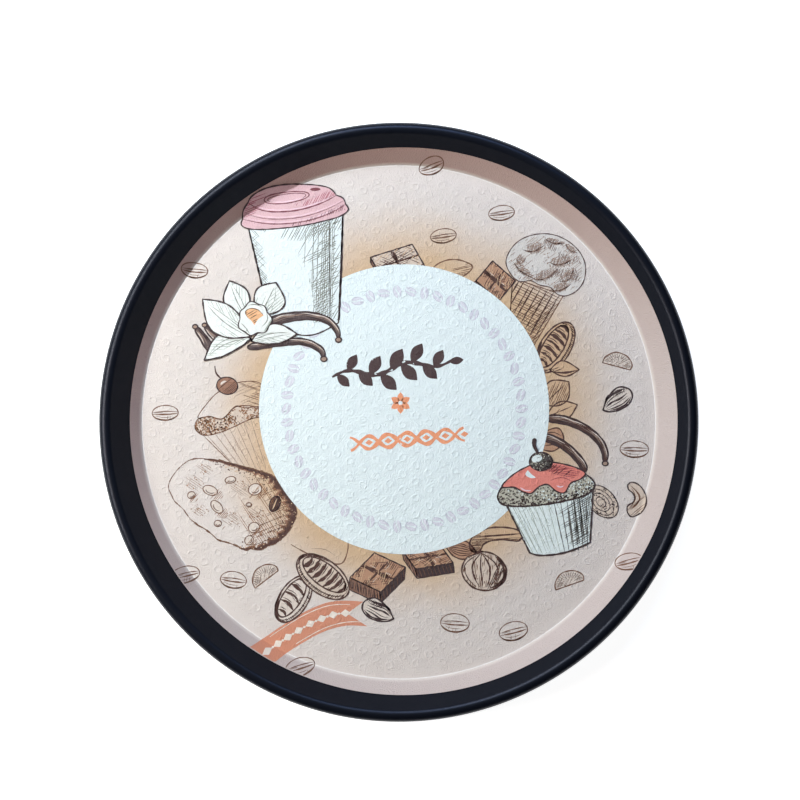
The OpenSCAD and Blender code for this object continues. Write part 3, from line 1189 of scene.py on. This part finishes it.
def draw_chopped_nuts(sheet):
    """Chopped nuts with their shadows, and one bean, on the ice lolly."""
    nuts = ((-112, -41.4, 9, 5.4, -20), (-108, -51.2, 9, 5.4, -48), (-123.2, -44.2, 4.6, 4, 30),
            (-100, -35.2, 6.4, 4, 10), (-89, -50, 3.2, 2.6, 0), (-107.4, -61, 4.4, 3.6, 0),
            (-86, -63.4, 6.6, 6, 30), (-88.8, -71, 5.6, 5, 60), (-85.4, -40.8, 8, 6.6, 20))
    for x, y, length, width, tilt in nuts:
        rim = oval(length, width, (x, y), tilt)
        shadow = oval(length * 1.6, width * 1.6, (x + 0.9, y - 1.2), tilt)
        hatch(sheet, shadow, 50, 0.9, 0.32, "sepia_light", toward((x - 1, y + 1), (x + 4, y - 4)))
        sheet.layer += 0.6
        shape(sheet, rim, "nut", "sepia", 0.55)
        hollow = oval(length * 0.6, width * 0.6, (x, y), tilt, 190, 350)
        stroke(sheet, hollow, 0.7, "soft_deep", ends=0.2)
        sheet.layer -= 0.6
    bean(sheet, (-73.6, -49.4), 9.6, 6.2, 68, "line", "chocolate")
    stroke(sheet, place([(-3.6, 0), (3.6, 0)], (-73.6, -49.4), 68), 0.8, "tan", ends=0.2, rise=2)


def draw_ribbon(sheet):
    """An orange ribbon with a forked end and plain lozenges. The film's edge cuts its other end."""
    upper = curve([(-21, -107.2), (-39.9, -107.2), (-55, -112.8), (-70.2, -122), (-81.1, -129.4),
                   (-93, -136)])
    lower = curve([(-18.6, -121.8), (-30.8, -121.4), (-42.9, -124.3), (-55, -130.4),
                   (-67.8, -138.4), (-80, -147)])
    outline = np.concatenate([upper, lower[::-1], [(-30.5, -114.2)]])
    away = outline - FILM_C
    outline = FILM_C + away * np.minimum(1, (FILM_R - EDGE_GAP) / lengths(away))[:, None]
    fill(sheet, outline, "ribbon")
    middle = (upper + lower) / 2
    for k in range(6, len(middle) - 2, 2):
        size = 3.1 if k % 4 else 1.1
        turn = heading(middle[k + 1] - middle[k])
        gem = place(lozenge(size, 0.75 * size), middle[k], turn)
        if shown(gem, 0).all():
            fill(sheet, gem, "ribbon_light", rise=1)
    for edge, inset in ((upper, -2.2), (lower, 2.2)):
        stroke(sheet, edge[3:-12] + (0.3 * inset, inset), 0.45, "ribbon_light", ends=0.8)


def draw_striped_ovals(sheet):
    """Three nut halves with bold stripes."""
    striped_oval(sheet, (-62.3, -105.6), 31, 17, 57, 5, tone="nut")
    sheet.layer = 0
    striped_oval(sheet, (93.2, 43.6), 34, 18, 58, 7)
    sheet.layer = 4
    striped_oval(sheet, (-45, -92.4), 36, 20, -37, 7, tone="haze")


def draw_chocolates(sheet):
    """Four blocks of chocolate, partly under the disc."""
    block(sheet, (-29, -93), (18.4, -8.6), (14.6, 14.6), (-0.6, -7))
    block(sheet, (2, -77), (8, -11), (22.2, 3.6), (0.8, -5.6))
    block(sheet, (-17, 97.6), (7.4, -13), (25, 7.8), (0, -3), "haze")
    block(sheet, (46, 83.4), (13.6, -12), (10, 12), (-3, -2.6))


def draw_cashew(sheet):
    """A cashew and a ribbed shell that the disc half hides."""
    shell = place(leaf(18.4, 10.6), (28, -75), -10)
    shape(sheet, shell, "caramel", "sepia_deep", 0.9)
    for shift in (-3.4, -2, -0.6, 0.8, 2.2, 3.4):
        rib = curve([(2, 0.3 * shift), (9, shift), (16, 0.3 * shift)])
        stroke(sheet, place(rib, (28, -75), -10), 0.6, "sepia_deep")
    cashew = band([(45.4, -78), (46.6, -71.6), (53, -67.8), (63, -67), (73, -69)], 8, 7)
    shape(sheet, cashew, "tan", "sepia_deep", 1.0)
    hatch(sheet, cashew, 4, 0.8, 0.5, "sepia_deep", toward((58, -62), (58, -72)))
    stipple(sheet, cashew, 320, 0.7, "sepia", toward((56, -66), (48, -76)), rise=1.4)


def draw_round_nut(sheet):
    """A round nut with ribs that meet at its tip."""
    round_nut = loop([(49, -77.6, 1), (57, -79.6), (63.4, -87), (62.4, -95), (54, -100.4),
                      (43.6, -98.6), (37.4, -90), (40, -81.6), (46, -79)])
    shape(sheet, round_nut, "haze", "sepia_deep", 1.0)
    for bulge, weight in ((-11, 0.6), (-6.4, 0.9), (-1.6, 0.8), (3.6, 1.0), (8, 0.8)):
        rib = curve([(49, -78.4), (50 + bulge, -86), (50.6 + 0.9 * bulge, -93),
                     (50.5 + 0.4 * bulge, -98.6)])
        stroke(sheet, rib, weight, "sepia_deep", ends=0.2, rise=1.4)
    hatch(sheet, round_nut, 84, 1.0, 0.46, "sepia", patchy(4, 0))
    hatch(sheet, round_nut, 66, 0.95, 0.55, "sepia_deep", toward((53, -87), (64, -92)))
    side = curve([(57, -80.4), (62.4, -87.4), (61.6, -94.6), (54, -99.4)])
    stroke(sheet, side, 1.9, "sepia_deep", ends=0.2)


def draw_sketch(sheet):
    """A sketched shape beside the chocolate at the top."""
    beside = loop([(20.5, 90.6), (27, 95.4), (36, 96), (44, 92), (38.6, 86.4), (27, 84.6)])
    stroke(sheet, beside, 0.75, "sepia", closed=True)
    hatch(sheet, beside, 12, 1.1, 0.4, "sepia", toward((30, 94), (36, 85)))


def draw_pip(sheet):
    """A small kernel between the striped oval and the leaves."""
    pip = loop([(90, 30, 1), (97, 35.6), (107.4, 30.4, 1), (99, 26.4)])
    shape(sheet, pip, "tan", "sepia_deep", 0.8)
    stroke(sheet, curve([(92, 29), (99, 28.6), (106, 30)]), 1.2, "sepia_deep", ends=0.2)
    hatch(sheet, pip, 20, 0.8, 0.5, "sepia_deep", toward((98, 31), (89, 29)))


def draw_leaves(sheet):
    """Two leaves and a husk that come out from under the disc."""
    for at, length, width, tilt in (((86, 9.5), 20.5, 15, 42), ((87.6, 2), 20, 10.5, 22)):
        sheet.layer += 0.3
        blade = place(leaf(length, width), at, tilt)
        shape(sheet, blade, "tan", "sepia_deep", 0.8)
        stroke(sheet, place([(1, 0), (0.85 * length, 0.3)], at, tilt), 0.6, "sepia_deep", ends=0.2)
        beside = place((0.8 * length, width), at, tilt)
        hatch(sheet, blade, tilt + 24, 1.0, 0.4, "sepia", toward(beside, at))
    husk = loop([(84, -9), (95, -4.5), (98, -12), (92, -18), (84, -16)])
    shape(sheet, husk, "caramel", "sepia_deep")
    for k in range(4):
        rib = curve([(85, -8 - 2.4 * k), (92, -7 - 2.4 * k), (96.4, -9 - 1.6 * k)])
        stroke(sheet, rib, 0.6, "sepia_deep", ends=0.2)


def draw_right_side(sheet):
    """Two dark pods, two almonds and a curved kernel."""
    pod(sheet, [(88, 1.4), (101, -0.4), (114, -7), (121.6, -16), (122.6, -24.6)], 5.2, 3.6, 4.0,
        "sepia_deep")
    pod(sheet, [(84, -9), (97, -14), (107, -23), (111, -30)], 5.0, 4.2, 0.6, "sepia_deep")
    almond(sheet, (-12.1, -112.9), 20, -12.5, 154)
    almond(sheet, (129.8, 11.8), 20, 12.5, 34)
    kernel = band([(136, -38.4), (141, -40.8), (143.4, -46), (141.4, -51.4), (135.6, -54.2)], 5.4, 8.2)
    shape(sheet, kernel, "haze", "line", 0.8)
    for inset, weight in ((-1.2, 0.5), (1.4, 0.9)):
        fold = curve([(138, -39.4 + 0.4 * inset), (141.6 + inset, -46), (136.6 + 0.6 * inset, -53)])
        stroke(sheet, fold, weight, "sepia", ends=0.2)
    hatch(sheet, kernel, 40, 1.0, 0.32, "sepia", toward((138, -44), (144, -53)))


def draw_ringed_oval(sheet):
    """A speckled oval with rings one inside the other."""
    rim = oval(23, 15, (120.6, -48), -46)
    shape(sheet, rim, "haze", "line", 0.65)
    for share in (0.8, 0.55, 0.3):
        ring = oval(23 * share, 15 * share, (120, -48.4), -46, steps=30)
        stroke(sheet, ring, 0.45, "line", closed=True)
    stipple(sheet, rim, 320, 0.8, "line", patchy(3, 30))


def draw_cone(sheet):
    """A wafer cone that the disc half hides."""
    cone = np.array([(68, 85), (66.4, 64), (80, 44), (98.4, 75)])
    stroke(sheet, cone, 0.6, "sepia", closed=True)
    for tilt, gap, width, ink in ((60, 3.7, 0.7, "sepia_deep"), (-26, 1.8, 0.42, "sepia")):
        hatch(sheet, cone, tilt, gap, width, ink)
    hatch(sheet, cone, 42, 1.1, 0.42, "sepia", toward((74, 78), (90, 54)))


def draw_scoop(sheet):
    """A scoop of ice cream, shaded in soft sketched patches."""
    scoop = loop([(64, 94), (66, 101), (72, 107.6), (81, 111.2), (91, 111.4), (100, 108),
                  (107.4, 101.6), (111.4, 93), (110.2, 83), (105.4, 77), (99, 74.4), (94.4, 75.6),
                  (90.6, 79.4), (84, 81), (78.6, 83.6), (73, 83), (68.4, 85.6)])
    fill(sheet, scoop, "ice")
    stroke(sheet, scoop, 0.6, "sepia_deep", closed=True)
    patches = ((81, 103, 14, 7, 12), (73, 96, 6, 9, 0), (93, 107, 12, 4, -14),
               (103, 102.6, 9, 4.4, -40), (97, 95, 15, 7, 8), (88, 87, 17, 7, 22),
               (101, 86.6, 12, 8, 44), (97, 79.4, 13, 6, 14), (75, 89, 17, 5, -38))
    for x, y, length, width, tilt in patches:
        patch = oval(length, width, (x, y), tilt)
        shade = spot((x, y), 0.55 * length)
        hatch(sheet, patch, tilt + 62, 0.85, 0.46, "soft_deep", shade)
        hatch(sheet, patch, tilt + 14, 1.1, 0.36, "soft", shade, rise=1.4)
        fold = place(curve([(-0.5 * length, 0.1 * width), (-0.1 * length, -0.25 * width),
                            (0.48 * length, 0.12 * width)]), (x, y), tilt)
        stroke(sheet, fold, 1.0, "sepia_deep", ends=0.1)
    inner = scoop.mean(0) + (scoop - scoop.mean(0)) * 0.94
    hatch(sheet, inner, 38, 1.3, 0.3, "soft", patchy(9, 30), rise=1.8)
    side = loop([(84, 109, 1), (100, 106), (109, 93), (104, 79), (90, 81, 1), (94, 94)])
    hatch(sheet, side, 66, 0.9, 0.42, "soft_deep", patchy(8, 60), rise=1.9)
    stipple(sheet, inner, 500, 0.8, "soft", patchy(7, 10), rise=2)


def draw_beans(sheet):
    """Loose coffee beans."""
    beans = ((-121.6, 89.6, 15, 9, -4), (19.4, 152, 15, 9.4, 18), (26.6, 110.4, 15.5, 8.6, 8),
             (61.4, 124.2, 15.5, 9, 8), (-139, 4.6, 15.5, 9, 2), (-126, -91, 16, 9.5, 10),
             (-98, -94.4, 15.5, 10, -8), (-58.1, -145, 17, 9.6, 12), (33.2, -119.8, 17, 11, -4),
             (67.8, -124.6, 17, 11, 14), (135.2, -83, 15, 9, 20), (140, -17, 17, 10, -2))
    for x, y, length, width, tilt in beans:
        bean(sheet, (x, y), length, width, tilt)


def draw_slices(sheet):
    """Half-moon slices of nut."""
    slices = ((130.4, 35.2, 17.5, -12), (-80, -91.7, 17.5, 40), (100.4, -94.6, 18, 22))
    for x, y, length, tilt in slices:
        half_moon(sheet, (x, y), length, 10.5, tilt)


# Every printed piece, and the drawings in it, each with the layer that it starts on
PRINT = {
    "print_disc": ((DISC_LAYER, draw_disc),),
    "print_ornament": ((DISC_LAYER + 1, draw_sprig), (DISC_LAYER + 1, draw_rosette),
                       (DISC_LAYER + 1, draw_wave)),
    "print_cup": ((DISC_LAYER + 2.5, draw_cup), (DISC_LAYER + 5.5, draw_lid)),
    "print_flower": ((DISC_LAYER + 8.5, draw_flower),),
    "print_pods": ((DISC_LAYER + 5, draw_pods),),
    "print_cupcake": ((DISC_LAYER + 2.5, draw_wrapper), (DISC_LAYER + 4.5, draw_cake),
                      (DISC_LAYER + 7.5, draw_icing), (DISC_LAYER + 9.5, draw_cherry)),
    "print_pale_cupcake": ((0, draw_pale_cupcake), (2, draw_pale_cherry)),
    "print_ice_lolly": ((0, draw_stick), (1, draw_lolly), (2, draw_chopped_nuts)),
    "print_ribbon": ((0, draw_ribbon),),
    "print_striped_ovals": ((1.5, draw_striped_ovals),),
    "print_chocolates": ((0, draw_chocolates),),
    "print_nuts": ((0, draw_cashew), (2, draw_round_nut), (0, draw_sketch), (2, draw_pip),
                   (0, draw_leaves), (1.4, draw_right_side), (3, draw_ringed_oval)),
    "print_ice_cream": ((0, draw_cone), (2, draw_scoop)),
    "print_beans": ((0, draw_beans),),
    "print_slices": ((0, draw_slices),)}


def make_print():
    """Draw and build every printed piece. The order matters to the random draws."""
    for name, drawings in PRINT.items():
        sheet = Sheet(name)
        for layer, draw in drawings:
            sheet.layer = layer
            draw(sheet)
        sheet.build()


# ---------------------------------------------------------------- stage, light and camera

def make_stage():
    """A pale floor with a low kerb far away, so that no dark horizon shows in a low view."""
    corners = [(-STAGE_REACH, -STAGE_REACH), (STAGE_REACH, -STAGE_REACH),
               (STAGE_REACH, STAGE_REACH), (-STAGE_REACH, STAGE_REACH)]
    vertices = [(x, y, z) for z in (0, KERB_H) for x, y in corners]
    sides = [(k, (k + 1) % 4, (k + 1) % 4 + 4, k + 4) for k in range(4)]
    mesh = bpy.data.meshes.new("floor")
    mesh.from_pydata(vertices, [], [(0, 1, 2, 3)] + sides)
    floor = bpy.data.objects.new("floor", mesh)
    bpy.context.scene.collection.objects.link(floor)
    look = Look("pale_floor")
    look.surface(Base_Color=(0.92, 0.92, 0.92, 1), Roughness=0.9,
                 Emission_Color=(1, 1, 1, 1), Emission_Strength=0.95)
    look.material.cycles.emission_sampling = "NONE"
    mesh.materials.append(look.material)


def add_light(name, azimuth, elevation, distance, size, power, colour):
    """An area light that faces the tray. Its size is a width and a height."""
    lamp = bpy.data.lights.new(name, "AREA")
    lamp.shape = "RECTANGLE"
    lamp.size, lamp.size_y = size
    lamp.energy = power
    lamp.color = colour
    light = bpy.data.objects.new(name, lamp)
    a, e = math.radians(azimuth), math.radians(elevation)
    back = Vector((math.cos(a) * math.cos(e), math.sin(a) * math.cos(e), math.sin(e)))
    light.location = back * distance
    light.rotation_mode = "QUATERNION"
    light.rotation_quaternion = back.to_track_quat("Z", "Y")
    bpy.context.scene.collection.objects.link(light)


def make_lights():
    """The area lights, and a faint bluish room round them."""
    for light in LIGHTS:
        add_light(*light)
    world = bpy.data.worlds.new("room")
    world.use_nodes = True
    background = world.node_tree.nodes["Background"]
    background.inputs["Color"].default_value = ROOM_LIGHT
    background.inputs["Strength"].default_value = ROOM_POWER
    bpy.context.scene.world = world
    bpy.context.scene.view_settings.view_transform = "Standard"


def make_camera():
    """A camera above the tray, tipped a little towards its near side."""
    elevation = math.radians(CAMERA_ELEVATION)
    aim = Vector((*CAMERA_AIM, FLOOR_Z)) * MM
    back = Vector((0, -math.cos(elevation), math.sin(elevation)))
    to_lip = CAMERA_DISTANCE - (LIP_C[1] - FLOOR_Z) * MM
    camera = bpy.data.cameras.new("camera")
    camera.sensor_width = SENSOR
    camera.lens = SENSOR * TRAY_SHARE * to_lip / (2 * OUTER_R * MM)
    camera.clip_start = 0.05
    rig = bpy.data.objects.new("camera", camera)
    rig.location = aim + back * CAMERA_DISTANCE
    rig.rotation_mode = "QUATERNION"
    rig.rotation_quaternion = back.to_track_quat("Z", "Y")
    bpy.context.scene.collection.objects.link(rig)
    bpy.context.scene.camera = rig


make_camera()
make_lights()
make_stage()
make_body()
make_film()
make_print()
